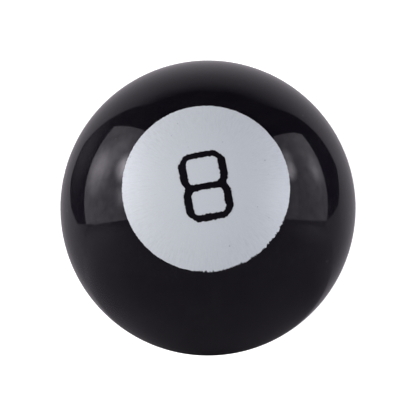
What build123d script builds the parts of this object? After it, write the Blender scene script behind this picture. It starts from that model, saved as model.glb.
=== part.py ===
"""Liquid-filled answer ball: two moulded half shells around a sealed chamber with a floating die.

Millimetres, +Z up. The origin is the middle of the flat base ring that the ball stands on. The window
faces down and the number faces up. The numeral's upright direction is +Y.
"""

from build123d import *
from math import acos, asin, cos, degrees, radians, sin, sqrt
import os

# ---- driving dimensions: ball and shells ----
ball_diameter = 101.6
shell_wall = 2.5
window_opening_diameter = 38.0
bezel_width = 2.0  # radial width of the sloping bezel around the window
bezel_depth = 2.0
base_land_width = 3.0  # flat ring outside the bezel, which the ball stands on
base_edge_fillet = 0.4
tongue_height = 3.0  # the upper shell's tongue drops inside the lower shell's lip
tongue_thickness = 1.2
cement_gap = 0.1  # room for cement around the tongue
seam_chamfer = 0.25  # on both edges at the seam, which shows as a fine groove
collar_height = 12.0  # of the lower shell's collar, which holds the reservoir upright
collar_wall = 1.6
gusset_count = 6
gusset_thickness = 1.6
gusset_drop = 2.0  # from the collar's top down to the gussets' top
hold_down_rib_count = 4
hold_down_rib_thickness = 1.6
hold_down_rib_span = 9.0  # radial width of a rib, inwards from the cap's edge
hold_down_gap = 0.2
crown_space = 20.0  # from the cap up to the inside of the crown

# ---- driving dimensions: printed number ----
disc_diameter = 55.4  # straight across the disc
disc_ink = 0.15
numeral_ink = 0.1
print_gap = 0.02
numeral_height = 22.9
numeral_width = 15.8
numeral_drop = 0.3  # the numeral's middle sits this far below the disc's
side_stroke = 2.6
head_stroke = 1.95
waist_stroke = 2.2
waist_drop = 0.27  # the waist sits this far below the numeral's middle
foot_stroke = 2.2
corner_cut = 3.1
notch_depth = 0.9
notch_height = 4.0
counter_corner_radius = 1.7

# ---- driving dimensions: liquid chamber ----
reservoir_lip_width = 3.3
reservoir_lip_thickness = 1.2
reservoir_wall = 1.8  # at the upper bore, its thinnest part
funnel_ledge = 0.6  # radial step that the bubble funnel sits on
foot_clearance = 0.3  # from the reservoir's foot to the shell
collar_clearance = 0.15
seal_thickness = 0.6
seal_setback = 0.3  # seals end short of the edges they lie against
window_flange_thickness = 2.0
window_clearance = 0.2
window_edge_chamfer = 0.3
cap_thickness = 2.0
cap_edge_chamfer = 0.4
cap_spigot_depth = 3.0
cap_spigot_wall = 1.5
cap_spigot_clearance = 0.15
cap_hub_diameter = 13.0
cap_hub_height = 3.0
fill_hole_diameter = 7.0
plug_head_overhang = 1.5
plug_head_thickness = 1.5
plug_head_chamfer = 0.4
plug_clearance = 0.05
plug_taper = 0.6
plug_tip = 1.0  # how far the plug reaches out below the cap

# ---- driving dimensions: bubble funnel ----
funnel_wall = 1.2
funnel_cone_rise = 8.0
funnel_tube_bore = 6.0
funnel_tube_height = 8.0
funnel_tube_to_cap = 3.0  # from the tube's mouth up to the end of the cap's spigot
funnel_clearance = 0.15
funnel_skirt_gap = 0.3

# ---- driving dimensions: answer die ----
die_side_clearance = 5.5
die_end_clearance = 4.0  # room for the die to tumble between window and funnel
die_wall = 1.2
die_to_window = 0.3
mark_height = 0.4
mark_size = 5.2
mark_stroke = 0.9
tick_short_arm = 2.4
tick_slope = 50.0
liquid_hole_diameter = 1.2
liquid_hole_reach = 0.72  # share of the way from a face's middle to its corners
spigot_height = 1.2
spigot_root = 3.0  # how far the locating spigot reaches down into its own half
spigot_wall = 0.8
spigot_clearance = 0.15

# ---- driving dimensions: dyed liquid ----
liquid_gap = 0.2  # from every wall that the liquid meets
air_space = 1.0  # from the liquid's surface up to the end of the cap's spigot

# ---- ball and shells ----
ball_radius = ball_diameter / 2
inner_radius = ball_radius - shell_wall
opening_radius = window_opening_diameter / 2
bezel_radius = opening_radius + bezel_width
base_radius = bezel_radius + base_land_width
centre_z = sqrt(ball_radius**2 - base_radius**2)
tongue_radius = inner_radius + tongue_thickness
rabbet_radius = tongue_radius + cement_gap
rabbet_depth = tongue_height + cement_gap
wall_overlap = shell_wall / 2  # how far ribs and gussets run into the shell's wall

# ---- angles below the ball's equator ----
base_angle = degrees(acos(base_radius / ball_radius))
rabbet_angle = degrees(asin(rabbet_depth / inner_radius))
floor_angle = degrees(asin((centre_z - shell_wall) / inner_radius))

# ---- printed number ----
disc_radius = disc_diameter / 2
counter_width = numeral_width - 2 * side_stroke
waist_top = waist_stroke / 2 - waist_drop
waist_bottom = -waist_stroke / 2 - waist_drop
upper_counter_height = numeral_height / 2 - head_stroke - waist_top
lower_counter_height = numeral_height / 2 - foot_stroke + waist_bottom

# ---- heights in the chamber ----
floor_z = shell_wall
lip_top_z = floor_z + reservoir_lip_thickness
flange_z = lip_top_z + seal_thickness
window_top_z = flange_z + window_flange_thickness
cap_top_z = centre_z + inner_radius - crown_space
cap_z = cap_top_z - cap_thickness
reservoir_top_z = cap_z - seal_thickness
spigot_end_z = cap_z - cap_spigot_depth
tube_top_z = spigot_end_z - funnel_tube_to_cap
cone_top_z = tube_top_z - funnel_tube_height
funnel_z = cone_top_z - funnel_cone_rise
skirt_top_z = spigot_end_z - funnel_skirt_gap
liquid_top_z = spigot_end_z - air_space
hub_top_z = cap_top_z + cap_hub_height

# ---- radii in the chamber ----
lip_radius = opening_radius + window_clearance
boss_radius = opening_radius - window_clearance
bore_radius = lip_radius + reservoir_lip_width
flange_radius = bore_radius - window_clearance
upper_bore_radius = bore_radius + funnel_ledge
reservoir_radius = upper_bore_radius + reservoir_wall
foot_radius = sqrt(inner_radius**2 - (centre_z - floor_z) ** 2) - foot_clearance
foot_chamfer = reservoir_radius - foot_radius
collar_radius = reservoir_radius + collar_clearance
skirt_radius = upper_bore_radius - funnel_clearance
mouth_radius = skirt_radius - funnel_wall
tube_bore_radius = funnel_tube_bore / 2
tube_radius = tube_bore_radius + funnel_wall
cap_spigot_radius = upper_bore_radius - cap_spigot_clearance
fill_hole_radius = fill_hole_diameter / 2
plug_radius = fill_hole_radius - plug_clearance
plug_head_radius = fill_hole_radius + plug_head_overhang

# ---- the die: a regular icosahedron that lies on one face ----
die_radius = min(
    bore_radius - die_side_clearance, (funnel_z - window_top_z - die_end_clearance) / 2
)
edge_per_radius = 4 / sqrt(10 + 2 * sqrt(5))
face_distance_per_edge = sqrt(3) * (3 + sqrt(5)) / 12
die_edge = die_radius * edge_per_radius
face_distance = die_edge * face_distance_per_edge
face_corner_radius = die_edge / sqrt(3)
die_z = window_top_z + die_to_window + mark_height + face_distance
die_pocket_distance = face_distance + mark_height + liquid_gap
side_face_slope = 1 / 3  # how fast the faces around the die's waist lean inwards
cavity_distance = face_distance - die_wall
cavity_waist_radius = (cavity_distance - spigot_height * side_face_slope) / sqrt(1 - side_face_slope**2)
die_spigot_radius = cavity_waist_radius - spigot_clearance


def icosahedron_corners(distance):
    """The twelve corners of an icosahedron around the die's middle, with faces this far from it."""
    edge = distance / face_distance_per_edge
    golden = (1 + sqrt(5)) / 2
    rings = [
        (edge / sqrt(3), -distance, 270),
        (edge * golden / sqrt(3), -distance / golden**3, 90),
        (edge * golden / sqrt(3), distance / golden**3, 270),
        (edge / sqrt(3), distance, 90),
    ]
    return [
        (radius * cos(radians(first + turn)), radius * sin(radians(first + turn)), die_z + height)
        for radius, height, first in rings
        for turn in (0, 120, 240)
    ]


def face_plane(face):
    """A plane on a face of the die, whose upright direction points at one of the face's corners."""
    upright = face.vertices()[0].center() - face.center()
    return Plane(face.center(), upright.cross(face.normal_at()), face.normal_at())


def draw_tick():
    """The mark for yes: a long arm and a short arm that share a corner."""
    with Locations((-tick_short_arm / 3, -mark_size / 2)):
        Rectangle(mark_size, mark_stroke, tick_slope, align=(Align.MIN, Align.MIN))
        Rectangle(mark_stroke, tick_short_arm, tick_slope, align=(Align.MIN, Align.MIN))


def draw_cross():
    """The mark for no."""
    Rectangle(mark_size, mark_stroke, rotation=45)
    Rectangle(mark_size, mark_stroke, rotation=-45)


def draw_ring():
    """The mark for ask again."""
    Circle(mark_size / 2)
    Circle(mark_size / 2 - mark_stroke, mode=Mode.SUBTRACT)


def funnel_section():
    """Corners of half the bubble funnel's section: mouth, skirt, cone and tube."""
    rise_per_run = funnel_cone_rise / (mouth_radius - tube_bore_radius)
    wall_rise = funnel_wall * sqrt(1 + rise_per_run**2)
    return [
        (mouth_radius, funnel_z),
        (skirt_radius, funnel_z),
        (skirt_radius, skirt_top_z),
        (mouth_radius, skirt_top_z),
        (mouth_radius, funnel_z + wall_rise),
        (tube_radius, cone_top_z + wall_rise - funnel_wall * rise_per_run),
        (tube_radius, tube_top_z),
        (tube_bore_radius, tube_top_z),
        (tube_bore_radius, cone_top_z),
    ]


# ---- upper shell ----
with BuildPart() as hold_down_ribs:
    with BuildSketch(Plane.XY.offset(cap_top_z + hold_down_gap)):
        with PolarLocations(reservoir_radius - hold_down_rib_span / 2, hold_down_rib_count):
            Rectangle(hold_down_rib_span, hold_down_rib_thickness)
    extrude(amount=crown_space)
    with Locations((0, 0, centre_z)):
        Sphere(inner_radius + wall_overlap, mode=Mode.INTERSECT)

with BuildPart() as print_recess:
    with BuildSketch(Plane.XY.offset(centre_z)):
        Circle(disc_radius + print_gap)
    extrude(amount=ball_diameter)
    with Locations((0, 0, centre_z)):
        Sphere(ball_radius - disc_ink - print_gap, mode=Mode.SUBTRACT)

with BuildPart() as upper_shell:
    with BuildSketch(Plane.XZ):
        with BuildLine():
            crown = CenterArc((0, centre_z), ball_radius, 0, 90)
            ceiling = CenterArc((0, centre_z), inner_radius, 0, 90)
            Line(crown @ 1, ceiling @ 1)
            Polyline(
                ceiling @ 0,
                (inner_radius, centre_z - tongue_height),
                (tongue_radius, centre_z - tongue_height),
                (tongue_radius, centre_z),
                crown @ 0,
            )
        make_face()
    revolve(axis=Axis.Z)
    seam = upper_shell.edges().filter_by_position(Axis.Z, centre_z, centre_z)
    chamfer(seam.sort_by(SortBy.RADIUS)[-1], length=seam_chamfer)
    add(hold_down_ribs.part)
    add(print_recess.part, mode=Mode.SUBTRACT)

# ---- lower shell ----
with BuildPart() as gussets:
    with BuildSketch(Plane.XY.offset(floor_z)):
        with PolarLocations((collar_radius + inner_radius) / 2, gusset_count):
            Rectangle(inner_radius - collar_radius - collar_wall, gusset_thickness)
    extrude(amount=collar_height - gusset_drop)
    with Locations((0, 0, centre_z)):
        Sphere(inner_radius + wall_overlap, mode=Mode.INTERSECT)

with BuildPart() as lower_shell:
    with BuildSketch(Plane.XZ):
        with BuildLine():
            bowl = CenterArc((0, centre_z), ball_radius, 0, -base_angle)
            inside = CenterArc((0, centre_z), inner_radius, -rabbet_angle, rabbet_angle - floor_angle)
            Polyline(
                bowl @ 0,
                (rabbet_radius, centre_z),
                (rabbet_radius, centre_z - rabbet_depth),
                inside @ 0,
            )
            Polyline(
                inside @ 1,
                (opening_radius, floor_z),
                (opening_radius, bezel_depth),
                (bezel_radius, 0),
                bowl @ 1,
            )
        make_face()
    revolve(axis=Axis.Z)
    seam = lower_shell.edges().filter_by_position(Axis.Z, centre_z, centre_z)
    chamfer(seam.sort_by(SortBy.RADIUS)[-1], length=seam_chamfer)
    foot_edge = lower_shell.edges().filter_by_position(Axis.Z, 0, 0)
    fillet(foot_edge.sort_by(SortBy.RADIUS)[-1], radius=base_edge_fillet)
    with BuildSketch(Plane.XY.offset(floor_z)):
        Circle(collar_radius + collar_wall)
        Circle(collar_radius, mode=Mode.SUBTRACT)
    extrude(amount=collar_height)
    add(gussets.part)

# ---- printed number ----
with BuildPart() as number_disc:
    with BuildSketch(Plane.XY.offset(centre_z)):
        Circle(disc_radius)
    extrude(amount=ball_diameter)
    with Locations((0, 0, centre_z)):
        Sphere(ball_radius, mode=Mode.INTERSECT)
    with Locations((0, 0, centre_z)):
        Sphere(ball_radius - disc_ink, mode=Mode.SUBTRACT)

with BuildPart() as numeral_eight:
    with BuildSketch(Plane((0, -numeral_drop, centre_z))) as eight:
        Rectangle(numeral_width, numeral_height)
        chamfer(eight.vertices(), length=corner_cut)
        with Locations((-numeral_width / 2, -waist_drop), (numeral_width / 2, -waist_drop)):
            Polygon(
                (notch_depth, 0),
                (0, notch_height / 2),
                (-notch_depth, 0),
                (0, -notch_height / 2),
                mode=Mode.SUBTRACT,
            )
        with Locations((0, waist_top + upper_counter_height / 2)):
            RectangleRounded(
                counter_width, upper_counter_height, counter_corner_radius, mode=Mode.SUBTRACT
            )
        with Locations((0, waist_bottom - lower_counter_height / 2)):
            RectangleRounded(
                counter_width, lower_counter_height, counter_corner_radius, mode=Mode.SUBTRACT
            )
    extrude(amount=ball_diameter)
    with Locations((0, 0, centre_z)):
        Sphere(ball_radius + print_gap + numeral_ink, mode=Mode.INTERSECT)
    with Locations((0, 0, centre_z)):
        Sphere(ball_radius + print_gap, mode=Mode.SUBTRACT)

# ---- window and its seal ----
with BuildPart() as window:
    with BuildSketch(Plane.XY.offset(bezel_depth)):
        Circle(boss_radius)
    extrude(amount=flange_z - bezel_depth)
    with BuildSketch(Plane.XY.offset(flange_z)):
        Circle(flange_radius)
    extrude(amount=window_flange_thickness)
    chamfer(window.faces().sort_by(Axis.Z)[0].edges(), length=window_edge_chamfer)

with BuildPart() as window_seal:
    with BuildSketch(Plane.XY.offset(lip_top_z)):
        Circle(flange_radius)
        Circle(lip_radius + seal_setback, mode=Mode.SUBTRACT)
    extrude(amount=seal_thickness)

# ---- reservoir ----
with BuildPart() as reservoir:
    with BuildSketch(Plane.XZ):
        with BuildLine():
            Polyline(
                (lip_radius, floor_z),
                (foot_radius, floor_z),
                (reservoir_radius, floor_z + foot_chamfer),
                (reservoir_radius, reservoir_top_z),
                (upper_bore_radius, reservoir_top_z),
                (upper_bore_radius, funnel_z),
                (bore_radius, funnel_z),
                (bore_radius, lip_top_z),
                (lip_radius, lip_top_z),
                close=True,
            )
        make_face()
    revolve(axis=Axis.Z)

# ---- bubble funnel ----
with BuildPart() as bubble_funnel:
    with BuildSketch(Plane.XZ):
        with BuildLine():
            Polyline(*funnel_section(), close=True)
        make_face()
    revolve(axis=Axis.Z)

# ---- cap, its seal and the fill plug ----
with BuildPart() as reservoir_cap:
    with BuildSketch(Plane.XY.offset(cap_z)):
        Circle(reservoir_radius)
    extrude(amount=cap_thickness)
    chamfer(reservoir_cap.faces().sort_by(Axis.Z)[-1].edges(), length=cap_edge_chamfer)
    with BuildSketch(Plane.XY.offset(spigot_end_z)):
        Circle(cap_spigot_radius)
        Circle(cap_spigot_radius - cap_spigot_wall, mode=Mode.SUBTRACT)
    extrude(amount=cap_spigot_depth)
    with BuildSketch(Plane.XY.offset(cap_top_z)):
        Circle(cap_hub_diameter / 2)
    extrude(amount=cap_hub_height)
    with Locations((0, 0, hub_top_z)):
        Hole(fill_hole_radius)

with BuildPart() as cap_seal:
    with BuildSketch(Plane.XY.offset(reservoir_top_z)):
        Circle(reservoir_radius - seal_setback)
        Circle(upper_bore_radius, mode=Mode.SUBTRACT)
    extrude(amount=seal_thickness)

with BuildPart() as fill_plug:
    with BuildSketch(Plane.XZ):
        with BuildLine():
            Polyline(
                (0, cap_z - plug_tip),
                (plug_radius - plug_taper, cap_z - plug_tip),
                (plug_radius, hub_top_z),
                (plug_head_radius, hub_top_z),
                (plug_head_radius, hub_top_z + plug_head_thickness),
                (0, hub_top_z + plug_head_thickness),
                close=True,
            )
        make_face()
    revolve(axis=Axis.Z)
    chamfer(fill_plug.faces().sort_by(Axis.Z)[-1].edges(), length=plug_head_chamfer)

# ---- answer die: ten ticks, five crosses and five rings ----
mark_order = [draw_tick, draw_cross, draw_tick, draw_ring]

with BuildPart() as die_shell:
    ConvexPolyhedron(icosahedron_corners(face_distance))
    face_planes = [face_plane(face) for face in die_shell.faces().sort_by(Axis.Z)]
    for number, plane in enumerate(face_planes):
        with BuildSketch(plane):
            mark_order[number % len(mark_order)]()
        extrude(amount=mark_height)
    ConvexPolyhedron(icosahedron_corners(face_distance - die_wall), mode=Mode.SUBTRACT)
    for plane in face_planes:
        with BuildSketch(plane):
            with PolarLocations(face_corner_radius * liquid_hole_reach, 3, start_angle=90):
                Circle(liquid_hole_diameter / 2)
        extrude(amount=-1.5 * die_wall, mode=Mode.SUBTRACT)

with BuildPart() as die_lower_half:
    add(die_shell.part)
    split(bisect_by=Plane.XY.offset(die_z), keep=Keep.BOTTOM)
    with BuildSketch(Plane.XY.offset(die_z - spigot_root)):
        Circle(die_spigot_radius)
        Circle(die_spigot_radius - spigot_wall, mode=Mode.SUBTRACT)
    extrude(amount=spigot_root + spigot_height)

with BuildPart() as die_upper_half:
    add(die_shell.part)
    split(bisect_by=Plane.XY.offset(die_z), keep=Keep.TOP)

# ---- dyed liquid, around the die and on both sides of the funnel ----
with BuildPart() as funnel_space:
    with BuildSketch(Plane.XZ):
        with BuildLine():
            Polyline(*funnel_section(), close=True)
        make_face()
        offset(amount=liquid_gap, kind=Kind.INTERSECTION)
    revolve(axis=Axis.Z)

with BuildPart() as dyed_liquid:
    with BuildSketch(Plane.XZ):
        with BuildLine():
            Polyline(
                (0, window_top_z + liquid_gap),
                (bore_radius - liquid_gap, window_top_z + liquid_gap),
                (bore_radius - liquid_gap, funnel_z),
                (mouth_radius - liquid_gap, funnel_z),
                (mouth_radius - liquid_gap, liquid_top_z),
                (0, liquid_top_z),
                close=True,
            )
        make_face()
    revolve(axis=Axis.Z)
    add(funnel_space.part, mode=Mode.SUBTRACT)
    ConvexPolyhedron(icosahedron_corners(die_pocket_distance), mode=Mode.SUBTRACT)

# ---- one file for each piece ----
pieces = {
    "upper_shell": upper_shell,
    "lower_shell": lower_shell,
    "number_disc": number_disc,
    "numeral_eight": numeral_eight,
    "window": window,
    "window_seal": window_seal,
    "reservoir": reservoir,
    "bubble_funnel": bubble_funnel,
    "reservoir_cap": reservoir_cap,
    "cap_seal": cap_seal,
    "fill_plug": fill_plug,
    "die_lower_half": die_lower_half,
    "die_upper_half": die_upper_half,
    "dyed_liquid": dyed_liquid,
}
os.makedirs("parts", exist_ok=True)
for name, piece in pieces.items():
    piece.part.label = name
    export_step(piece.part, f"parts/{name}.step")
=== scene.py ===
"""Looks of the liquid-filled answer ball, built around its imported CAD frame.

Everything is in metres, in the frame's own axes: +Z runs up from the window in the base to the printed
number on the crown, and +Y is the numeral's upright direction. The shells and the printed number are
built here as finely turned pieces. The pieces inside keep their CAD shapes and get their finishes here.
"""

import logging
import math
from dataclasses import dataclass, field
from enum import Enum

import bmesh
import bpy
from mathutils import Matrix, Vector, noise


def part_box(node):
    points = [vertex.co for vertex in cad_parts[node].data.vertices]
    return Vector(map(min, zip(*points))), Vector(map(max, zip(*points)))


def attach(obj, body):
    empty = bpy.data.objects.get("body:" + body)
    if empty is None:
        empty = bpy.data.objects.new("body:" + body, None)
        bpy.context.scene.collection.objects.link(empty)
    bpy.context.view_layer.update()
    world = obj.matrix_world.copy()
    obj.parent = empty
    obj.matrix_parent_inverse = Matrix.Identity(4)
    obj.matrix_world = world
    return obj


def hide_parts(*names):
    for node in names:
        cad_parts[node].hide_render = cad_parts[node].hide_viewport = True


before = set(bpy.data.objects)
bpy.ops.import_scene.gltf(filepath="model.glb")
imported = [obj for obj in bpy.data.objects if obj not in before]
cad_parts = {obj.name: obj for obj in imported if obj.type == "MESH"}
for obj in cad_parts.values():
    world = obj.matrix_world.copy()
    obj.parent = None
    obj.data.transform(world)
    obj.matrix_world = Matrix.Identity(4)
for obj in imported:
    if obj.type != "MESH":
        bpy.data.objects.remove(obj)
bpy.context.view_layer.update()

MM = 0.001
# Turned points closer than this are one point, and shorter edges are dropped.
MERGE_REACH = 0.001 * MM
SHORTEST_EDGE = 0.0001 * MM
# A dust speck is solid out to this share of its radius, and fades beyond it.
SPECK_CORE = 0.6
# A ragged edge is waves on waves: this many sets, each so many times finer than the last.
OCTAVES = 4
FINER_EACH_TIME = 2.2
LOG = logging.getLogger("answer_ball")

Socket = bpy.types.NodeSocket
Colour = tuple[float, float, float]
Span = tuple[float, float]


class Body(Enum):
    """The rigid bodies that new pieces ride on."""

    HOUSING = "housing"
    LIQUID = "liquid"


class Slot(Enum):
    """The record's material slots by name; no piece here takes its finish from them."""

    BLACK_PLASTIC = "black_plastic"
    WHITE_INK = "white_ink"
    BLACK_INK = "black_ink"
    BLUE_LIQUID = "blue_liquid"


# ---------------------------------------------------------------- node graphs


class Graph:
    """A material's node tree, with short calls that add a node and join it up."""

    def __init__(self, name: str) -> None:
        """Starts an empty material with an output and a Principled shader.

        Args:
            name: the material's name.
        """
        self.material = bpy.data.materials.new(name)
        self.material.use_nodes = True
        self.tree = self.material.node_tree
        self.tree.nodes.clear()
        self.output = self.tree.nodes.new("ShaderNodeOutputMaterial")
        self.shader = self.tree.nodes.new("ShaderNodeBsdfPrincipled")
        self.join(self.shader.outputs["BSDF"], self.output.inputs["Surface"])

    def join(self, source: Socket, target: Socket) -> None:
        """Links one socket to another."""
        self.tree.links.new(source, target)

    def put(self, target: Socket, value: "Socket | float | Colour") -> None:
        """Links a socket to an input, or sets a plain number or colour on it.

        Args:
            target: the input.
            value: a socket, a number, or a colour without alpha.
        """
        if isinstance(value, bpy.types.NodeSocket):
            self.join(value, target)
        elif isinstance(value, tuple) and target.type == "RGBA":
            target.default_value = (*value, 1.0)
        else:
            target.default_value = value

    def set(self, **values: "Socket | float | Colour") -> None:
        """Sets the shader's own inputs; an underscore in a name stands for a space."""
        for name, value in values.items():
            self.put(self.shader.inputs[name.replace("_", " ")], value)

    def place(self) -> Socket:
        """Where a point is in the object's own coordinates, in metres."""
        return self.tree.nodes.new("ShaderNodeTexCoord").outputs["Object"]

    def mapped(self, vector: Socket, scale: Colour, centre: Colour = (0.0, 0.0, 0.0)) -> Socket:
        """A vector measured from a centre and stretched along each axis.

        Args:
            vector: the vector to map.
            scale: the factor along each axis.
            centre: the point that becomes the origin.

        Returns:
            The mapped vector.
        """
        node = self.tree.nodes.new("ShaderNodeMapping")
        self.join(vector, node.inputs["Vector"])
        node.inputs["Scale"].default_value = scale
        node.inputs["Location"].default_value = [-c * s for c, s in zip(centre, scale)]
        return node.outputs["Vector"]

    def noise(self, vector: Socket, scale: float, detail: float = 3.0, rough: float = 0.5) -> Socket:
        """Fractal noise from 0 to 1.

        Args:
            vector: the coordinates to read.
            scale: cycles per metre.
            detail: octaves.
            rough: how strong the fine octaves are.

        Returns:
            The noise value.
        """
        node = self.tree.nodes.new("ShaderNodeTexNoise")
        self.join(vector, node.inputs["Vector"])
        node.inputs["Scale"].default_value = scale
        node.inputs["Detail"].default_value = detail
        node.inputs["Roughness"].default_value = rough
        return node.outputs["Fac"]

    def specks(self, vector: Socket, scale: float, size: float) -> Socket:
        """Sparse round specks, 1 inside each one.

        Args:
            vector: the coordinates to read.
            scale: cells per metre.
            size: a speck's radius as a share of its cell.

        Returns:
            The speck mask.
        """
        node = self.tree.nodes.new("ShaderNodeTexVoronoi")
        self.join(vector, node.inputs["Vector"])
        node.inputs["Scale"].default_value = scale
        return self.ramp(node.outputs["Distance"], (SPECK_CORE * size, size), (1.0, 0.0))

    def ramp(self, value: Socket, band: Span, result: Span = (0.0, 1.0)) -> Socket:
        """A value carried through a straight ramp.

        Args:
            value: the input value.
            band: where the ramp starts and ends.
            result: what it gives up to its start and from its end on.

        Returns:
            The ramp's result.
        """
        node = self.tree.nodes.new("ShaderNodeValToRGB")
        self.join(value, node.inputs["Fac"])
        for mark, position, level in zip(node.color_ramp.elements, band, result):
            mark.position = position
            mark.color = (level, level, level, 1.0)
        return node.outputs["Color"]

    def math(self, operation: str, first: "Socket | float", second: "Socket | float" = 0.0) -> Socket:
        """A Math node's result.

        Args:
            operation: the node's operation.
            first: its first value.
            second: its second value.

        Returns:
            The result.
        """
        node = self.tree.nodes.new("ShaderNodeMath")
        node.operation = operation
        self.put(node.inputs[0], first)
        self.put(node.inputs[1], second)
        return node.outputs["Value"]

    def vector(self, operation: str, first: Socket, second: "Vector | Colour") -> bpy.types.Node:
        """A Vector Math node, with its first input joined and its second set.

        Args:
            operation: the node's operation.
            first: the socket that feeds its first input.
            second: the vector set on its second input.

        Returns:
            The node, whose other inputs and outputs are still free.
        """
        node = self.tree.nodes.new("ShaderNodeVectorMath")
        node.operation = operation
        self.join(first, node.inputs[0])
        node.inputs[1].default_value = second
        return node

    def spokes(self, vector: Socket) -> tuple[Socket, Socket]:
        """The direction out from the Z axis, and the distance from it.

        Args:
            vector: the coordinates to read.

        Returns:
            The direction as a unit vector, and the distance.
        """
        flat = self.vector("MULTIPLY", vector, (1.0, 1.0, 0.0)).outputs["Vector"]
        way = self.vector("NORMALIZE", flat, (0.0, 0.0, 0.0)).outputs["Vector"]
        return way, self.vector("LENGTH", flat, (0.0, 0.0, 0.0)).outputs["Value"]

    def near(self, vector: Socket, centre: Vector, reach: float) -> Socket:
        """1 at a centre, easing down to 0 at a distance from it.

        Args:
            vector: the coordinates to read.
            centre: the centre, in the same coordinates.
            reach: the distance at which it gets to 0.

        Returns:
            The eased nearness.
        """
        gap = self.vector("DISTANCE", vector, centre)
        ease = self.tree.nodes.new("ShaderNodeMapRange")
        ease.interpolation_type = "SMOOTHSTEP"
        self.join(gap.outputs["Value"], ease.inputs["Value"])
        for label, value in (("From Min", 0.0), ("From Max", reach), ("To Min", 1.0), ("To Max", 0.0)):
            ease.inputs[label].default_value = value
        return ease.outputs["Result"]

    def blend(self, share: Socket, first: Colour, second: "Colour | Socket") -> Socket:
        """A colour between two colours.

        Args:
            share: 0 for the first colour, 1 for the second.
            first: a colour, or a socket that gives one.
            second: a colour, or a socket that gives one.

        Returns:
            The blended colour.
        """
        node = self.tree.nodes.new("ShaderNodeMix")
        node.data_type = "RGBA"
        self.put(node.inputs["Factor"], share)
        colours = [socket for socket in node.inputs if socket.type == "RGBA"]
        self.put(colours[0], first)
        self.put(colours[1], second)
        return next(socket for socket in node.outputs if socket.type == "RGBA")

    def bump(self, height: Socket, depth: float, below: "Socket | None" = None) -> Socket:
        """A bumped normal.

        Args:
            height: the height field, from 0 to 1.
            depth: the depth that 1 stands for, in metres.
            below: a normal to add to.

        Returns:
            The normal.
        """
        node = self.tree.nodes.new("ShaderNodeBump")
        node.inputs["Distance"].default_value = depth
        self.join(height, node.inputs["Height"])
        if below is not None:
            self.join(below, node.inputs["Normal"])
        return node.outputs["Normal"]


# ---------------------------------------------------------------- finishes


@dataclass(frozen=True)
class GlossShellPlastic:
    """Black moulded plastic with a soft gloss, faint haze, hair scratches and a little dust."""

    name: str = "shell_black_gloss"
    black: Colour = (0.0042, 0.0033, 0.006)
    worn_black: Colour = (0.0056, 0.0047, 0.0075)
    ior: float = 1.5
    haze_scale: float = 110.0
    haze_band: Span = (0.35, 0.7)
    roughness: Span = (0.035, 0.09)
    film: Colour = (0.0155, 0.0147, 0.0172)
    film_scale: float = 1500.0
    film_band: Span = (0.5, 0.72)
    film_haze_band: Span = (0.4, 0.65)
    film_least: float = 0.25
    peel_scale: float = 900.0
    peel_depth: float = 0.0022 * MM
    hair_stretch: Colour = (2600.0, 90.0, 340.0)
    hair_band: Span = (0.66, 0.72)
    hair_depth: float = 0.0012 * MM
    dust: Colour = (0.09, 0.09, 0.1)
    dust_scale: float = 95.0
    dust_size: float = 0.022

    def build(self) -> bpy.types.Material:
        """Makes the material.

        Returns:
            The material.
        """
        graph = Graph(self.name)
        place = graph.place()
        haze = graph.noise(place, self.haze_scale, detail=4.0, rough=0.6)
        hairs = graph.noise(graph.mapped(place, self.hair_stretch), 1.0, detail=2.0, rough=0.7)
        dust = graph.specks(place, self.dust_scale, self.dust_size)
        grain = graph.ramp(graph.noise(place, self.film_scale, detail=3.0, rough=0.7), self.film_band)
        film = graph.math("MULTIPLY", grain, graph.ramp(haze, self.film_haze_band, (self.film_least, 1.0)))
        colour = graph.blend(film, graph.blend(haze, self.black, self.worn_black), self.film)
        peel = graph.bump(graph.noise(place, self.peel_scale, detail=2.0), self.peel_depth)
        graph.set(
            Base_Color=graph.blend(dust, colour, self.dust),
            Roughness=graph.math("ADD", graph.ramp(haze, self.haze_band, self.roughness), dust),
            IOR=self.ior,
            Normal=graph.bump(graph.ramp(hairs, self.hair_band), self.hair_depth, peel),
        )
        return graph.material


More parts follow.
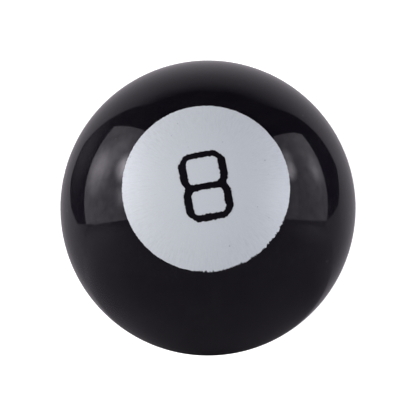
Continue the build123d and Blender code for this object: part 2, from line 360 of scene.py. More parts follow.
@dataclass(frozen=True)
class PadPrintedInk:
    """Opaque ink pressed on by a soft pad, with fine streaks that run out from the middle."""

    name: str
    ink: Colour
    thin_ink: Colour
    roughness: float = 0.36
    ior: float = 1.46
    streak_count: float = 58.0
    streak_breaks: float = 420.0
    streak_band: Span = (0.42, 0.78)
    streak_reach: float = 30.0 * MM
    streak_span: Span = (0.25, 0.85)
    streak_strength: float = 0.58
    streak_depth: float = 0.004 * MM
    patch_scale: float = 90.0
    patch_band: Span = (0.35, 0.65)
    patch_least: float = 0.35
    grain_scale: float = 2200.0
    grain_strength: float = 0.3
    grain_depth: float = 0.002 * MM
    speck: Colour = (0.16, 0.18, 0.26)
    speck_scale: float = 320.0
    speck_size: float = 0.1
    speck_area_scale: float = 130.0
    speck_area_band: Span = (0.54, 0.64)
    speck_strength: float = 0.5

    def thinning(self, graph: Graph, streaks: Socket, reach: Socket) -> Socket:
        """How thin the ink is: along the streaks, towards the rim and in some patches.

        Args:
            graph: the material's graph.
            streaks: the streaks' noise.
            reach: distance from the print's middle.

        Returns:
            The share of thin ink.
        """
        outer = graph.ramp(graph.math("DIVIDE", reach, self.streak_reach), self.streak_span)
        thin = graph.math("MULTIPLY", graph.ramp(streaks, self.streak_band), outer)
        clouds = graph.noise(graph.place(), self.patch_scale, detail=2.0)
        patches = graph.ramp(clouds, self.patch_band, (self.patch_least, 1.0))
        return graph.math("MULTIPLY", graph.math("MULTIPLY", thin, patches), self.streak_strength)

    def build(self) -> bpy.types.Material:
        """Makes the material.

        Returns:
            The material.
        """
        graph = Graph(self.name)
        place = graph.place()
        way, reach = graph.spokes(place)
        along = graph.tree.nodes.new("ShaderNodeCombineXYZ")
        graph.join(graph.math("MULTIPLY", reach, self.streak_breaks), along.inputs["Z"])
        polar = graph.vector("MULTIPLY_ADD", way, (self.streak_count, self.streak_count, 0.0))
        graph.join(along.outputs["Vector"], polar.inputs[2])
        streaks = graph.noise(polar.outputs["Vector"], 1.0, detail=3.0, rough=0.62)
        grain = graph.noise(place, self.grain_scale, detail=2.0, rough=0.6)
        solid = graph.blend(graph.math("MULTIPLY", grain, self.grain_strength), self.ink, self.thin_ink)
        printed = graph.blend(self.thinning(graph, streaks, reach), solid, self.thin_ink)
        areas = graph.noise(place, self.speck_area_scale, detail=1.0)
        dusty = graph.ramp(areas, self.speck_area_band, (0.0, self.speck_strength))
        specks = graph.math("MULTIPLY", graph.specks(place, self.speck_scale, self.speck_size), dusty)
        graph.set(
            Base_Color=graph.blend(specks, printed, self.speck),
            Roughness=self.roughness,
            IOR=self.ior,
            Normal=graph.bump(grain, self.grain_depth, graph.bump(streaks, self.streak_depth)),
        )
        return graph.material


@dataclass(frozen=True)
class MouldedPlastic:
    """Plain moulded plastic: a die, a cap or a funnel, with flow marks and a fine spark texture."""

    name: str
    tone: Colour
    shade: Colour
    roughness: Span = (0.3, 0.5)
    clarity: float = 0.0
    ior: float = 1.5
    flow_scale: float = 70.0
    flow_stretch: Colour = (1.0, 1.0, 0.35)
    flow_band: Span = (0.3, 0.75)
    gloss_band: Span = (0.3, 0.7)
    grain_scale: float = 2600.0
    grain_depth: float = 0.006 * MM

    def build(self) -> bpy.types.Material:
        """Makes the material.

        Returns:
            The material.
        """
        graph = Graph(self.name)
        place = graph.place()
        flow = graph.noise(graph.mapped(place, self.flow_stretch), self.flow_scale, detail=3.0, rough=0.55)
        grain = graph.noise(place, self.grain_scale, detail=2.0, rough=0.6)
        graph.set(
            Base_Color=graph.blend(graph.ramp(flow, self.flow_band), self.tone, self.shade),
            Roughness=graph.ramp(flow, self.gloss_band, self.roughness),
            IOR=self.ior,
            Transmission_Weight=self.clarity,
            Normal=graph.bump(grain, self.grain_depth),
        )
        return graph.material


@dataclass(frozen=True)
class ClearPlastic:
    """Polished clear plastic with faint handling marks."""

    name: str = "window_clear"
    tint: Colour = (0.93, 0.96, 0.98)
    ior: float = 1.49
    smear_scale: float = 160.0
    smear_band: Span = (0.4, 0.75)
    roughness: Span = (0.015, 0.07)
    hair_stretch: Colour = (3000.0, 120.0, 400.0)
    hair_band: Span = (0.66, 0.72)
    hair_depth: float = 0.001 * MM

    def build(self) -> bpy.types.Material:
        """Makes the material.

        Returns:
            The material.
        """
        graph = Graph(self.name)
        place = graph.place()
        smear = graph.noise(place, self.smear_scale, detail=4.0, rough=0.6)
        hairs = graph.noise(graph.mapped(place, self.hair_stretch), 1.0, detail=2.0, rough=0.7)
        graph.set(
            Base_Color=self.tint,
            Roughness=graph.ramp(smear, self.smear_band, self.roughness),
            IOR=self.ior,
            Transmission_Weight=1.0,
            Normal=graph.bump(graph.ramp(hairs, self.hair_band), self.hair_depth),
        )
        return graph.material


@dataclass(frozen=True)
class DyedLiquid:
    """Dark blue dyed alcohol: clear at the surface and nearly opaque within a centimetre."""

    name: str = "liquid_dark_blue"
    surface: Colour = (0.35, 0.45, 0.95)
    swirled_surface: Colour = (0.25, 0.35, 0.9)
    swirl_scale: float = 60.0
    swirl_stretch: Colour = (1.0, 1.0, 0.6)
    depth_colour: Colour = (0.05, 0.1, 0.72)
    density: float = 420.0
    roughness: float = 0.02
    ior: float = 1.36

    def build(self) -> bpy.types.Material:
        """Makes the material.

        Returns:
            The material.
        """
        graph = Graph(self.name)
        swirl = graph.noise(graph.mapped(graph.place(), self.swirl_stretch), self.swirl_scale)
        graph.set(
            Base_Color=graph.blend(swirl, self.surface, self.swirled_surface),
            Roughness=self.roughness,
            IOR=self.ior,
            Transmission_Weight=1.0,
        )
        absorb = graph.tree.nodes.new("ShaderNodeVolumeAbsorption")
        absorb.inputs["Color"].default_value = (*self.depth_colour, 1.0)
        absorb.inputs["Density"].default_value = self.density
        graph.join(absorb.outputs["Volume"], graph.output.inputs["Volume"])
        return graph.material


@dataclass(frozen=True)
class SealRubber:
    """Soft moulded rubber, matt, with bloom and a fine grain."""

    name: str
    tone: Colour
    bloom: Colour
    roughness: float = 0.75
    ior: float = 1.52
    bloom_scale: float = 300.0
    bloom_band: Span = (0.45, 0.8)
    grain_scale: float = 3200.0
    grain_depth: float = 0.01 * MM

    def build(self) -> bpy.types.Material:
        """Makes the material.

        Returns:
            The material.
        """
        graph = Graph(self.name)
        place = graph.place()
        bloom = graph.noise(place, self.bloom_scale, detail=4.0, rough=0.65)
        grain = graph.noise(place, self.grain_scale, detail=2.0, rough=0.6)
        graph.set(
            Base_Color=graph.blend(graph.ramp(bloom, self.bloom_band), self.tone, self.bloom),
            Roughness=self.roughness,
            IOR=self.ior,
            Normal=graph.bump(grain, self.grain_depth),
        )
        return graph.material


# ---------------------------------------------------------------- mesh tools


class TurnedSection:
    """A half section in the XZ plane, drawn as runs and arcs and then turned about Z."""

    def __init__(self, radius: float, height: float) -> None:
        """Starts the section at a distance from the axis and a height."""
        self.mesh = bmesh.new()
        self.end = self.mesh.verts.new((radius, 0.0, height))

    def run(self, radius: float, height: float) -> None:
        """Draws a straight run to a point.

        Args:
            radius: the point's distance from the axis.
            height: the point's height.
        """
        made = bmesh.ops.extrude_vert_indiv(self.mesh, verts=[self.end])
        self.end = made["verts"][0]
        self.end.co = (radius, 0.0, height)

    def arc(self, centre: Vector, degrees: float, steps: int) -> None:
        """Draws an arc about a centre in the section's plane.

        Args:
            centre: the arc's centre.
            degrees: its turn; positive goes from up towards outwards and down.
            steps: how many edges it has.
        """
        made = bmesh.ops.spin(
            self.mesh, geom=[self.end], cent=centre, axis=(0.0, 1.0, 0.0),
            angle=math.radians(degrees), steps=steps, use_merge=False,
        )
        self.end = next(part for part in made["geom_last"] if isinstance(part, bmesh.types.BMVert))

    def close(self) -> None:
        """Joins the last point to the first."""
        self.mesh.verts.ensure_lookup_table()
        self.mesh.edges.new((self.end, self.mesh.verts[0]))

    def turn(self, segments: int) -> bmesh.types.BMesh:
        """Turns the section into a closed solid.

        Args:
            segments: steps in the full turn.

        Returns:
            The solid's mesh, with its faces pointing outwards.
        """
        bmesh.ops.spin(
            self.mesh, geom=self.mesh.verts[:] + self.mesh.edges[:], cent=(0.0, 0.0, 0.0),
            axis=(0.0, 0.0, 1.0), angle=math.tau, steps=segments, use_merge=True,
        )
        bmesh.ops.remove_doubles(self.mesh, verts=self.mesh.verts, dist=MERGE_REACH)
        bmesh.ops.dissolve_degenerate(self.mesh, edges=self.mesh.edges, dist=SHORTEST_EDGE)
        bmesh.ops.recalc_face_normals(self.mesh, faces=self.mesh.faces)
        return self.mesh


def finish_piece(
    mesh: bmesh.types.BMesh, name: str, material: bpy.types.Material,
    body: Body = Body.HOUSING, crease: float = 28.0,
) -> bpy.types.Object:
    """Turns a bmesh into a smooth-shaded piece that rides on a body.

    Args:
        mesh: the finished mesh, which is freed.
        name: the piece's name.
        material: its finish.
        body: the body that it rides on.
        crease: edges that turn by more degrees than this stay sharp.

    Returns:
        The piece.
    """
    for face in mesh.faces:
        face.smooth = True
    for edge in mesh.edges:
        edge.smooth = not edge.is_manifold or math.degrees(edge.calc_face_angle(0.0)) < crease
    data = bpy.data.meshes.new(name)
    mesh.to_mesh(data)
    mesh.free()
    piece = bpy.data.objects.new(name, data)
    bpy.context.scene.collection.objects.link(piece)
    data.materials.append(material)
    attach(piece, body.value)
    LOG.info("%s: %d faces", name, len(data.polygons))
    return piece


# ---------------------------------------------------------------- shells


@dataclass
class HalfShells:
    """The two cemented half shells, with seam, base ring, bezel, collar, ribs and gussets."""

    wall: float = 2.5 * MM
    seam_chamfer: float = 0.25 * MM
    tongue_height: float = 3.0 * MM
    tongue_thickness: float = 1.2 * MM
    cement_gap: float = 0.1 * MM
    bezel_width: float = 2.0 * MM
    bezel_depth: float = 2.0 * MM
    base_land: float = 3.0 * MM
    base_fillet: float = 0.5 * MM
    fillet_middle: Span = (0.35, 0.22)
    opening_radius: float = 19.0 * MM
    collar_height: float = 12.0 * MM
    collar_wall: float = 1.6 * MM
    collar_clearance: float = 0.15 * MM
    rib_count: int = 4
    gusset_count: int = 6
    rib_thickness: float = 1.6 * MM
    rib_span: float = 9.0 * MM
    gusset_drop: float = 2.0 * MM
    cap_hub_height: float = 3.0 * MM
    hold_down_gap: float = 0.2 * MM
    segments: int = 192
    arc_steps: int = 72
    floor_steps: int = 4
    fin_steps: int = 8
    finish: GlossShellPlastic = GlossShellPlastic()

    def __post_init__(self) -> None:
        """Reads the ball's radius and centre from the frame."""
        low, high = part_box("lower_shell")
        self.radius = min(high.x - low.x, high.y - low.y) / 2
        self.centre = Vector((0.0, 0.0, high.z))
        self.inner = self.radius - self.wall
        self.chamber_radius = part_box("reservoir")[1].x
        self.cap_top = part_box("reservoir_cap")[1].z - self.cap_hub_height

    def height_at(self, ball_radius: float, reach: float) -> float:
        """How far a sphere's surface is above or below its centre, at a reach from its axis."""
        return math.sqrt(ball_radius**2 - reach**2)

    def upper(self) -> bmesh.types.BMesh:
        """The crown: outer face, seam chamfer, tongue and inner face in one section, and the ribs.

        Returns:
            The crown's mesh.
        """
        equator = self.centre.z
        chamfer_turn = math.degrees(self.seam_chamfer / self.radius)
        tongue = self.inner + self.tongue_thickness
        section = TurnedSection(0.0, equator + self.radius)
        section.arc(self.centre, 90.0 - chamfer_turn, self.arc_steps)
        section.run(self.radius - self.seam_chamfer, equator)
        section.run(tongue, equator)
        section.run(tongue, equator - self.tongue_height)
        section.run(self.inner, equator - self.tongue_height)
        section.run(self.inner, equator)
        section.arc(self.centre, -90.0, self.arc_steps // 2)
        mesh = section.turn(self.segments)
        for turn in range(self.rib_count):
            self.add_fin(
                mesh, math.tau * turn / self.rib_count, self.chamber_radius - self.rib_span,
                self.chamber_radius, self.cap_top + self.hold_down_gap, up=True,
            )
        return mesh

    def lower(self) -> bmesh.types.BMesh:
        """The bowl: seam, outer face, base ring, bezel, floor, collar and rabbet, and the gussets.

        Returns:
            The bowl's mesh.
        """
        equator = self.centre.z
        bezel = self.opening_radius + self.bezel_width
        base = bezel + self.base_land
        chamfer_turn = math.degrees(self.seam_chamfer / self.radius)
        fillet_turn = math.degrees(self.base_fillet / self.radius)
        base_turn = math.degrees(math.acos(base / self.radius))
        rabbet = self.inner + self.tongue_thickness + self.cement_gap
        rabbet_depth = self.tongue_height + self.cement_gap
        collar = self.chamber_radius + self.collar_clearance
        collar_top = self.wall + self.collar_height
        section = TurnedSection(self.radius - self.seam_chamfer, equator)
        section.run(
            self.radius * math.cos(math.radians(chamfer_turn)),
            equator - self.radius * math.sin(math.radians(chamfer_turn)),
        )
        section.arc(self.centre, base_turn - fillet_turn - chamfer_turn, self.arc_steps)
        inset, rise = self.fillet_middle
        section.run(base - inset * self.base_fillet, rise * self.base_fillet)
        section.run(base - self.base_fillet, 0.0)
        section.run(bezel, 0.0)
        section.run(self.opening_radius, self.bezel_depth)
        section.run(self.opening_radius, self.wall)
        floor_reach = self.height_at(self.inner, equator - self.wall)
        section.run(floor_reach, self.wall)
        inner_turn = math.degrees(math.acos(collar / self.inner) - math.acos(floor_reach / self.inner))
        section.arc(self.centre, inner_turn, self.floor_steps)
        section.run(collar, collar_top)
        section.run(collar + self.collar_wall, collar_top)
        outside = collar + self.collar_wall
        section.run(outside, equator - self.height_at(self.inner, outside))
        rabbet_turn = math.degrees(math.asin(rabbet_depth / self.inner))
        section.arc(
            self.centre, rabbet_turn - math.degrees(math.acos(outside / self.inner)), self.arc_steps // 2
        )
        section.run(rabbet, equator - rabbet_depth)
        section.run(rabbet, equator)
        section.close()
        mesh = section.turn(self.segments)
        for turn in range(self.gusset_count):
            self.add_fin(
                mesh, math.tau * turn / self.gusset_count, outside - self.collar_wall / 2,
                self.height_at(self.inner, equator - collar_top + self.gusset_drop),
                collar_top - self.gusset_drop, up=False,
            )
        return mesh

    def add_fin(
        self, mesh: bmesh.types.BMesh, turn: float, inside: float, outside: float, level: float, up: bool
    ) -> None:
        """Adds a thin upright fin that runs from a level to the shell's inner face.

        Args:
            mesh: the shell's mesh.
            turn: the fin's direction about the axis, in radians.
            inside: its nearest distance from the axis.
            outside: its furthest distance from the axis.
            level: the height of its straight edge.
            up: True for a rib that hangs from the crown, False for a gusset that stands in the bowl.
        """
        root = self.inner + self.wall / 2
        sign = 1.0 if up else -1.0
        corners = [mesh.verts.new((outside, 0.0, level)), mesh.verts.new((inside, 0.0, level))]
        for step in range(self.fin_steps + 1):
            reach = inside + (outside - inside) * step / self.fin_steps
            corners.append(mesh.verts.new((reach, 0.0, self.centre.z + sign * self.height_at(root, reach))))
        fin = mesh.faces.new(corners)
        pushed = bmesh.ops.extrude_face_region(mesh, geom=[fin])
        moved = [part for part in pushed["geom"] if isinstance(part, bmesh.types.BMVert)]
        bmesh.ops.translate(mesh, verts=moved, vec=(0.0, self.rib_thickness, 0.0))
        whole = corners + moved
        bmesh.ops.translate(mesh, verts=whole, vec=(0.0, -self.rib_thickness / 2, 0.0))
        bmesh.ops.rotate(mesh, verts=whole, cent=(0.0, 0.0, 0.0), matrix=Matrix.Rotation(turn, 3, "Z"))
        faces = list({face for vert in whole for face in vert.link_faces})
        bmesh.ops.recalc_face_normals(mesh, faces=faces)

    def build(self) -> None:
        """Makes both shells and dresses them."""
        plastic = self.finish.build()
        upper = finish_piece(self.upper(), "crown_shell", plastic)
        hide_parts("upper_shell")
        lower = finish_piece(self.lower(), "base_shell", plastic)
        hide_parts("lower_shell")


# ---------------------------------------------------------------- printed number


@dataclass
class PrintedNumber:
    """The white disc and the numeral eight, each a thin layer of ink with a slightly ragged edge."""

    shells: HalfShells
    disc_reach: float = 27.7 * MM
    disc_proud: float = 0.03 * MM
    disc_sunk: float = 0.03 * MM
    disc_segments: int = 900
    disc_rings: int = 28
    rim_share: float = 0.98
    rim_ragged: float = 0.16 * MM
    rim_waves: float = 45.0
    rim_smoothness: float = 0.4
    teeth_depth: float = 0.95 * MM
    teeth_waves: Span = (22.0, 48.0)
    teeth_middle: float = 0.3
    teeth_side: Vector = field(default_factory=lambda: Vector((0.334, -0.943, 0.0)))
    teeth_start: float = 0.74
    teeth_ease: float = 0.09
    stroke_ragged: float = 0.3 * MM
    stroke_waves: float = 1150.0
    stroke_smoothness: float = 0.45
    stroke_shift: Vector = field(default_factory=lambda: Vector((7.0, 3.0, 5.0)))
    numeral_proud: float = 0.09 * MM
    side_stroke: float = 2.6 * MM
    head_stroke: float = 1.95 * MM
    waist_stroke: float = 2.2 * MM
    foot_stroke: float = 2.2 * MM
    corner_cut: float = 3.1 * MM
    corner_round: float = 0.9 * MM
    corner_steps: int = 3
    counter_round: float = 1.7 * MM
    counter_steps: int = 6
    notch_depth: float = 1.25 * MM
    notch_height: float = 4.0 * MM
    waist_drop: float = 0.27 * MM
    edge_step: float = 0.18 * MM
    white: PadPrintedInk = PadPrintedInk("disc_white_ink", (0.66, 0.692, 0.76), (0.45, 0.475, 0.53))
    black: PadPrintedInk = PadPrintedInk(
        "numeral_black_ink", (0.0042, 0.0033, 0.0056), (0.008, 0.007, 0.0098)
    )

    def __post_init__(self) -> None:
        """Reads the numeral's width and height from the frame."""
        low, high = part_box("numeral_eight")
        self.half_width = (high.x - low.x) / 2
        self.half_height = (high.y - low.y) / 2
        self.middle = (high.y + low.y) / 2
        self.centre = self.shells.centre
        self.radius = self.shells.radius

    def rim_wander(self, way: Vector) -> float:
        """How far the disc's rim strays: a little all round, with teeth on one side.

        Args:
            way: the direction out from the disc's middle.

        Returns:
            The distance, which is positive outwards.
        """
        side = min(1.0, max(0.0, way.dot(self.teeth_side) - self.teeth_start) / self.teeth_ease)
        coarse, fine = self.teeth_waves
        teeth = abs(noise.noise(way * coarse)) + abs(noise.noise(way * fine))
        waves = noise.fractal(way * self.rim_waves, self.rim_smoothness, FINER_EACH_TIME, OCTAVES)
        return self.rim_ragged * waves + self.teeth_depth * side * (self.teeth_middle - teeth)

    def disc(self) -> bmesh.types.BMesh:
        """The disc: a thin cap of ink whose rim wanders a little, most on one side.

        Returns:
            The disc's mesh.
        """
        top = self.radius + self.disc_proud
        under = self.radius - self.disc_sunk
        section = TurnedSection(0.0, self.centre.z + top)
        section.arc(self.centre, math.degrees(math.asin(self.disc_reach / top)), self.disc_rings)
        section.run(self.disc_reach, self.centre.z + math.sqrt(under**2 - self.disc_reach**2))
        section.arc(self.centre, -math.degrees(math.asin(self.disc_reach / under)), self.disc_rings // 2)
        mesh = section.turn(self.disc_segments)
        for vert in mesh.verts:
            flat = Vector((vert.co.x, vert.co.y, 0.0))
            if flat.length < self.disc_reach * self.rim_share:
                continue
            way = flat.normalized()
            reach = flat.length + self.rim_wander(way)
            depth = (vert.co - self.centre).length
            height = math.sqrt(depth**2 - reach**2)
            vert.co = (way.x * reach, way.y * reach, self.centre.z + height)
        return mesh

    def counter(self, mesh: bmesh.types.BMesh, low: float, high: float) -> None:
        """Adds the rounded outline of one of the numeral's two openings.

        Args:
            mesh: the numeral's flat mesh.
            low: the opening's lower edge.
            high: its upper edge.
        """
        wide = self.half_width - self.side_stroke
        outline = ((wide, low), (wide, high), (-wide, high), (-wide, low))
        corners = [mesh.verts.new((x, y, 0.0)) for x, y in outline]
        mesh.faces.new(corners)
        bmesh.ops.bevel(
            mesh, geom=corners, offset=self.counter_round, segments=self.counter_steps,
            profile=0.5, affect="VERTICES", material=-1,
        )

    def outline(self, mesh: bmesh.types.BMesh) -> None:
        """Adds the numeral's outer outline: cut corners and a notch on each side of the waist.

        Args:
            mesh: the numeral's flat mesh.
        """
        wide, tall, cut = self.half_width, self.half_height, self.corner_cut
        quarter = [(wide, self.notch_height / 2), (wide, tall - cut), (wide - cut, tall)]
        notch = [(wide - self.notch_depth, -self.waist_drop)]
        right = [(x, -y) for x, y in reversed(quarter)] + notch + quarter
        left = [(-x, y) for x, y in reversed(right)]
        corners = [mesh.verts.new((x, y, 0.0)) for x, y in right + left]
        mesh.faces.new(corners)
        bmesh.ops.bevel(
            mesh, geom=corners, offset=self.corner_round, segments=self.corner_steps,
            profile=0.5, affect="VERTICES", material=-1,
        )

    def stroke_wander(self, spot: Vector) -> float:
        """How far a stroke's edge strays at a spot of the noise."""
        waves = noise.fractal(spot, self.stroke_smoothness, FINER_EACH_TIME, OCTAVES)
        return self.stroke_ragged * waves

    def numeral(self) -> bmesh.types.BMesh:
        """The numeral: its flat outline filled, wrapped on the ball and given the ink's thickness.

        Returns:
            The numeral's mesh.
        """
        mesh = bmesh.new()
        waist = self.waist_stroke / 2
        self.outline(mesh)
        self.counter(mesh, waist - self.waist_drop, self.half_height - self.head_stroke)
        self.counter(mesh, -self.half_height + self.foot_stroke, -waist - self.waist_drop)
        bmesh.ops.delete(mesh, geom=mesh.faces[:], context="FACES_ONLY")
        for edge in mesh.edges[:]:
            cuts = int(edge.calc_length() / self.edge_step)
            if cuts:
                bmesh.ops.subdivide_edges(mesh, edges=[edge], cuts=cuts)
        for vert in mesh.verts:
            spot = vert.co * self.stroke_waves
            vert.co.x += self.stroke_wander(spot)
            vert.co.y += self.stroke_wander(spot + self.stroke_shift) + self.middle
        bmesh.ops.triangle_fill(mesh, edges=mesh.edges, use_beauty=True, use_dissolve=False)
        pushed = bmesh.ops.extrude_face_region(mesh, geom=mesh.faces[:])
        upper = {part for part in pushed["geom"] if isinstance(part, bmesh.types.BMVert)}
        for vert in mesh.verts:
            depth = self.radius + (self.numeral_proud if vert in upper else 0.0)
            vert.co.z = self.centre.z + math.sqrt(depth**2 - vert.co.x**2 - vert.co.y**2)
        bmesh.ops.recalc_face_normals(mesh, faces=mesh.faces)
        return mesh

    def build(self) -> None:
        """Makes both layers and dresses them."""
        disc = finish_piece(self.disc(), "printed_disc", self.white.build())
        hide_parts("number_disc")
        eight = finish_piece(self.numeral(), "printed_eight", self.black.build())
        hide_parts("numeral_eight")


# ---------------------------------------------------------------- pieces inside


@dataclass
class InnerWorks:
    """The chamber and what is in it, which keep their CAD shapes and are dressed here."""

    window: ClearPlastic = ClearPlastic()
    die: MouldedPlastic = MouldedPlastic(
        "die_white", (0.8, 0.81, 0.8), (0.6, 0.66, 0.78), roughness=(0.32, 0.5)
    )
    chamber: MouldedPlastic = MouldedPlastic(
        "chamber_navy", (0.012, 0.02, 0.12), (0.02, 0.032, 0.17), roughness=(0.14, 0.3), clarity=0.25
    )
    funnel: MouldedPlastic = MouldedPlastic(
        "funnel_blue", (0.03, 0.055, 0.24), (0.05, 0.08, 0.32), roughness=(0.28, 0.45)
    )
    cap: MouldedPlastic = MouldedPlastic(
        "cap_charcoal", (0.02, 0.021, 0.025), (0.035, 0.036, 0.04), roughness=(0.35, 0.55)
    )
    seal: SealRubber = SealRubber("seal_black_rubber", (0.012, 0.012, 0.013), (0.05, 0.05, 0.052))
    plug: SealRubber = SealRubber("plug_grey_rubber", (0.42, 0.42, 0.4), (0.55, 0.55, 0.53))

    def finishes(self) -> dict[str, bpy.types.Material]:
        """The finish of each CAD node that keeps its shape.

        Returns:
            A material for each node's name.
        """
        die = self.die.build()
        seal = self.seal.build()
        return {
            "window": self.window.build(),
            "window_seal": seal,
            "cap_seal": seal,
            "reservoir": self.chamber.build(),
            "bubble_funnel": self.funnel.build(),
            "reservoir_cap": self.cap.build(),
            "fill_plug": self.plug.build(),
            "die_lower_half": die,
            "die_upper_half": die,
        }

    def build(self) -> None:
        """Dresses each CAD node."""
        for name, material in self.finishes().items():
            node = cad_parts[name]
            node.data.materials.clear()
            node.data.materials.append(material)
            LOG.info("%s: %s", name, material.name)


@dataclass
class LiquidFill:
    """The dyed filling: the CAD liquid without the die's pocket, so that the die floats freely in it."""

    pocket_share: float = 0.9
    merge_reach: float = 0.002 * MM
    finish: DyedLiquid = DyedLiquid()

    def skin(self) -> bmesh.types.BMesh:
        """Copies the CAD liquid, takes the pocket out and closes the floor where it broke through.

        Returns:
            The filling's mesh.
        """
        low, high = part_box("dyed_liquid")
        reach = self.pocket_share * high.x
        floor, roof = low.z + self.merge_reach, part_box("bubble_funnel")[0].z
        mesh = bmesh.new()
        mesh.from_mesh(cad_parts["dyed_liquid"].data)
        bmesh.ops.remove_doubles(mesh, verts=mesh.verts, dist=self.merge_reach)
        pocket = [
            vert for vert in mesh.verts
            if floor < vert.co.z < roof and math.hypot(vert.co.x, vert.co.y) < reach
        ]
        bmesh.ops.delete(mesh, geom=pocket, context="VERTS")
        rim = [edge for edge in mesh.edges if edge.is_boundary]
        bmesh.ops.holes_fill(mesh, edges=rim, sides=len(rim))
        bmesh.ops.recalc_face_normals(mesh, faces=mesh.faces)
        return mesh

    def build(self) -> None:
        """Makes the filling and dresses it."""
        liquid = finish_piece(
            self.skin(), "dyed_filling", self.finish.build(), Body.LIQUID
        )
        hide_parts("dyed_liquid")


# ---------------------------------------------------------------- studio


@dataclass(frozen=True)
class GlowSpot:
    """A soft round patch on a card that is brighter or dimmer than the rest."""

    centre: Vector
    reach: float
    gain: float


@dataclass(frozen=True)
class CardGlow:
    """The light of a reflection card, with soft spots and a cloudy unevenness."""

    name: str
    strength: float
    tint: Colour = (1.02, 0.955, 1.05)
    mottle: float = 0.0
    mottle_gain: float = 4.0
    mottle_scale: float = 9.0
    spots: tuple[GlowSpot, ...] = ()

    def build(self) -> bpy.types.Material:
        """Makes the material.

        Returns:
            The material.
        """
        graph = Graph(self.name)
        place = graph.place()
        level: Socket = graph.math("ADD", self.strength, 0.0)
        for spot in self.spots:
            gain = graph.math("MULTIPLY", graph.near(place, spot.centre, spot.reach), spot.gain)
            level = graph.math("ADD", level, gain)
        clouds = graph.noise(place, self.mottle_scale, detail=3.0, rough=0.55)
        contrast = self.mottle_gain * self.mottle
        swing = graph.math("MULTIPLY", graph.math("SUBTRACT", clouds, 0.5), contrast)
        lamp = graph.tree.nodes.new("ShaderNodeEmission")
        lamp.inputs["Color"].default_value = (*self.tint, 1.0)
        graph.join(graph.math("MULTIPLY", level, graph.math("ADD", swing, 1.0)), lamp.inputs["Strength"])
        graph.join(lamp.outputs["Emission"], graph.output.inputs["Surface"])
        return graph.material


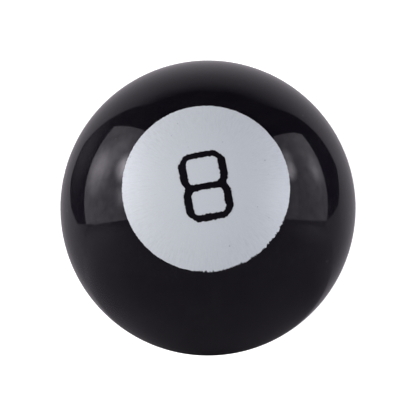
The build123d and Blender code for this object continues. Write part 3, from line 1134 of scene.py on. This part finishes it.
@dataclass
class Studio:
    """A pale sweep, soft lights, the cards that the gloss mirrors, and the camera."""

    centre: Vector
    radius: float
    azimuth: float = -4.6
    elevation: float = 81.25
    roll: float = -5.9
    distance: float = 1.0
    ball_share: float = 0.710337
    sensor: float = 36.0
    near_limit: float = 0.01
    table_drop: float = 0.052
    room_reach: float = 4.0
    dome_share: float = 0.9
    dome_segments: int = 48
    room_strength: float = 0.012
    floor_grey: Colour = (0.8, 0.8, 0.8)
    floor_roughness: float = 0.9
    floor_shade: float = 0.17
    floor_shade_reach: float = 0.3

    def __post_init__(self) -> None:
        """Works out the camera's own axes."""
        turn, lift = math.radians(self.azimuth), math.radians(self.elevation)
        self.toward = Vector(
            (math.sin(turn) * math.cos(lift), -math.cos(turn) * math.cos(lift), math.sin(lift))
        )
        level = Vector((math.cos(turn), math.sin(turn), 0.0))
        upright = self.toward.cross(level)
        lean = Matrix.Rotation(math.radians(self.roll), 3, self.toward)
        self.right = lean @ level
        self.up = lean @ upright
        self.axes = Matrix((self.right, self.up, self.toward)).transposed()

    def camera(self) -> None:
        """Sets up the long lens, in which the ball fills its share of the frame's width."""
        lens = bpy.data.cameras.new("camera")
        tangent = math.tan(math.asin(self.radius / self.distance))
        lens.sensor_width = self.sensor
        lens.lens = self.sensor * self.ball_share / (2 * tangent)
        lens.clip_start = self.near_limit
        seat = bpy.data.objects.new("camera", lens)
        bpy.context.scene.collection.objects.link(seat)
        place = Matrix.Translation(self.centre + self.toward * self.distance)
        seat.matrix_world = place @ self.axes.to_4x4()
        bpy.context.scene.camera = seat

    def at(self, across: float, above: float, nearer: float) -> Vector:
        """The point so far to the right of, above and nearer than the ball's centre in the view."""
        return self.centre + self.right * across + self.up * above + self.toward * nearer

    def card(self, name: str, corners: list[tuple[float, float, float]], glow: CardGlow) -> None:
        """Adds a flat card that shows only as a reflection.

        Args:
            name: the card's name.
            corners: its corners, along the camera's axes.
            glow: how it glows.
        """
        mesh = bmesh.new()
        mesh.faces.new([mesh.verts.new(self.at(*corner)) for corner in corners])
        card = self.prop(name, mesh, glow.build())
        card.visible_camera = False
        card.visible_diffuse = False
        card.visible_shadow = False
        card.visible_transmission = False

    def prop(self, name: str, mesh: bmesh.types.BMesh, material: bpy.types.Material) -> bpy.types.Object:
        """Adds a studio prop, which isn't part of the object.

        Args:
            name: its name.
            mesh: its mesh, which is freed.
            material: its material.

        Returns:
            The prop.
        """
        data = bpy.data.meshes.new(name)
        mesh.to_mesh(data)
        mesh.free()
        data.materials.append(material)
        prop = bpy.data.objects.new(name, data)
        bpy.context.scene.collection.objects.link(prop)
        return prop

    def cards(self) -> None:
        """Puts up the cards that the gloss mirrors: backdrop, table, side wall and two softboxes."""
        level = -self.table_drop
        self.card(
            "backdrop_card",
            [
                (-0.38, level, level), (0.475, level, level), (0.38, -0.042, level),
                (0.3, -0.027, level), (0.222, -0.01, level), (0.172, 0.004, level),
                (0.131, 0.042, level), (0.132, 0.084, level), (0.142, 0.145, level),
                (0.2, 0.35, level), (0.0, 0.41, level), (-0.18, 0.35, level),
                (-0.122, 0.125, level), (-0.107, 0.08, level), (-0.097, 0.05, level),
                (-0.104, 0.022, level), (-0.125, 0.0, level), (-0.165, -0.0205, level),
                (-0.36, -0.049, level),
            ],
            CardGlow(
                "backdrop_glow", 0.05,
                spots=(
                    GlowSpot(self.at(-0.01, 0.05, level), 0.34, 0.34),
                    GlowSpot(self.at(0.0, 0.08, level), 0.1, 0.08),
                    GlowSpot(self.at(0.12, 0.06, level), 0.12, 0.05),
                    GlowSpot(self.at(0.1, -0.075, level), 0.075, -0.1),
                    GlowSpot(self.at(0.3, -0.04, level), 0.16, 0.14),
                    GlowSpot(self.at(-0.25, -0.05, level), 0.2, 0.08),
                    GlowSpot(self.at(-0.09, -0.055, level), 0.06, -0.08),
                ),
            ),
        )
        self.card(
            "table_card",
            [
                (-0.36, level, level), (0.475, level, level), (0.4, level, 0.13),
                (0.36, level, 0.3), (-0.36, level, 0.3),
            ],
            CardGlow(
                "table_glow", 0.125,
                spots=(
                    # The dim spot where the card meets the ball is painted shade, standing in for the
                    # table's contact shadow in the reflection.
                    GlowSpot(self.at(0.0, level, 0.0), 0.04, -0.11),
                    GlowSpot(self.at(-0.2, level, 0.0), 0.17, 0.16),
                    GlowSpot(self.at(-0.1, level, -0.055), 0.06, 0.08),
                    GlowSpot(self.at(0.06, level, -0.01), 0.07, -0.06),
                    GlowSpot(self.at(0.25, level, 0.03), 0.14, 0.13),
                ),
            ),
        )
        self.card(
            "side_wall_card",
            [(-1.05, -0.05, -0.4), (-0.75, -0.05, -0.95), (-0.5, 0.65, -0.87), (-0.75, 0.78, -0.4)],
            CardGlow("side_wall_glow", 0.01, spots=(GlowSpot(self.at(-0.83, 0.38, -0.62), 0.38, 0.15),)),
        )
        self.card(
            "left_softbox_card",
            [
                (-0.86, -0.112, -0.27), (-0.656, 0.571, -0.3), (-0.615, 0.705, 0.054),
                (-0.5, 0.72, 0.36), (-0.8, -0.17, 0.52), (-0.876, -0.155, 0.316),
            ],
            CardGlow(
                "left_softbox_glow", 0.72, mottle=0.25, mottle_scale=13.0,
                spots=(
                    GlowSpot(self.at(-0.745, 0.27, -0.1), 0.24, 1.7),
                    GlowSpot(self.at(-0.675, 0.335, 0.25), 0.17, 6.0),
                    GlowSpot(self.at(-0.76, 0.12, 0.33), 0.16, 1.6),
                    GlowSpot(self.at(-0.78, 0.48, 0.08), 0.26, 1.2),
                ),
            ),
        )
        self.card(
            "right_softbox_card",
            [
                (0.883, -0.115, -0.2), (0.697, 0.55, -0.2), (0.693, 0.612, -0.1),
                (0.62, 0.68, 0.2), (0.8, -0.17, 0.5), (0.86, -0.155, 0.32),
            ],
            CardGlow(
                "right_softbox_glow", 0.55, mottle=0.25, mottle_scale=13.0,
                spots=(
                    GlowSpot(self.at(0.768, 0.28, -0.09), 0.14, 1.0),
                    GlowSpot(self.at(0.715, 0.33, 0.27), 0.12, 3.2),
                    GlowSpot(self.at(0.68, 0.44, 0.23), 0.12, 1.3),
                    GlowSpot(self.at(0.88, 0.24, -0.02), 0.22, 0.5),
                    GlowSpot(self.at(0.78, 0.46, -0.08), 0.24, 0.5),
                ),
            ),
        )

    def lamp(self, name: str, seat: Vector, size: float, power: float, tint: Colour) -> None:
        """Adds a soft square lamp that aims at the ball and doesn't show in its gloss.

        Args:
            name: the lamp's name.
            seat: where it is.
            size: its side.
            power: its power in watts.
            tint: its colour.
        """
        light = bpy.data.lights.new(name, "AREA")
        light.color = tint
        light.shape = "SQUARE"
        light.size = size
        light.energy = power
        lamp = bpy.data.objects.new(name, light)
        bpy.context.scene.collection.objects.link(lamp)
        lamp.location = seat
        lamp.rotation_euler = (self.centre - seat).to_track_quat("-Z", "Y").to_euler()
        lamp.visible_glossy = False
        lamp.visible_camera = False

    def lamps(self) -> None:
        """Hangs the soft lamps that light the ink and the floor."""
        self.lamp(
            "key_lamp", self.at(-0.9, 0.1, 0.45), size=0.5, power=11.0, tint=(1.0, 0.99, 0.968)
        )
        self.lamp(
            "fill_lamp", self.at(0.88, 0.05, 0.5), size=0.5, power=8.5, tint=(0.975, 0.985, 1.0)
        )

    def floor(self) -> None:
        """Lays the pale glowing floor, with painted shade that makes it a little less bright right under
        the ball.
        """
        mesh = bmesh.new()
        bmesh.ops.create_grid(mesh, x_segments=1, y_segments=1, size=self.room_reach)
        graph = Graph("floor_white")
        # Painted shade: the floor's glow dims near the ball, standing in for its contact shadow.
        under = graph.near(graph.place(), Vector(), self.floor_shade_reach)
        shade = graph.math("MULTIPLY", under, self.floor_shade)
        graph.set(
            Base_Color=self.floor_grey,
            Roughness=self.floor_roughness,
            Emission_Color=(1.0, 1.0, 1.0),
            Emission_Strength=graph.math("SUBTRACT", 1.0, shade),
        )
        floor = self.prop("floor", mesh, graph.material)
        floor.visible_glossy = False

    def backdrop(self) -> None:
        """Closes the room with a plain white dome that neither lights the ball nor shows in its gloss."""
        mesh = bmesh.new()
        bmesh.ops.create_uvsphere(
            mesh, u_segments=self.dome_segments, v_segments=self.dome_segments // 2,
            radius=self.room_reach * self.dome_share,
        )
        bmesh.ops.recalc_face_normals(mesh, faces=mesh.faces)
        dome = self.prop("dome", mesh, CardGlow("dome_white", 1.0, tint=(1.0, 1.0, 1.0)).build())
        dome.visible_glossy = False
        dome.visible_diffuse = False
        dome.visible_shadow = False
        dome.visible_transmission = False

    def world(self) -> None:
        """Makes the dim room around the cards."""
        room = bpy.data.worlds.new("room")
        room.use_nodes = True
        back = room.node_tree.nodes["Background"]
        back.inputs["Color"].default_value = (1.0, 1.0, 1.0, 1.0)
        back.inputs["Strength"].default_value = self.room_strength
        bpy.context.scene.world = room
        bpy.context.scene.view_settings.view_transform = "Standard"

    def build(self) -> None:
        """Sets up the whole studio."""
        self.world()
        self.floor()
        self.backdrop()
        self.cards()
        self.lamps()
        self.camera()


def main() -> None:
    """Builds the object and its studio."""
    logging.basicConfig(level=logging.INFO, format="%(message)s")
    shells = HalfShells()
    shells.build()
    PrintedNumber(shells).build()
    InnerWorks().build()
    LiquidFill().build()
    Studio(shells.centre, shells.radius).build()


if __name__ == "__main__":
    main()
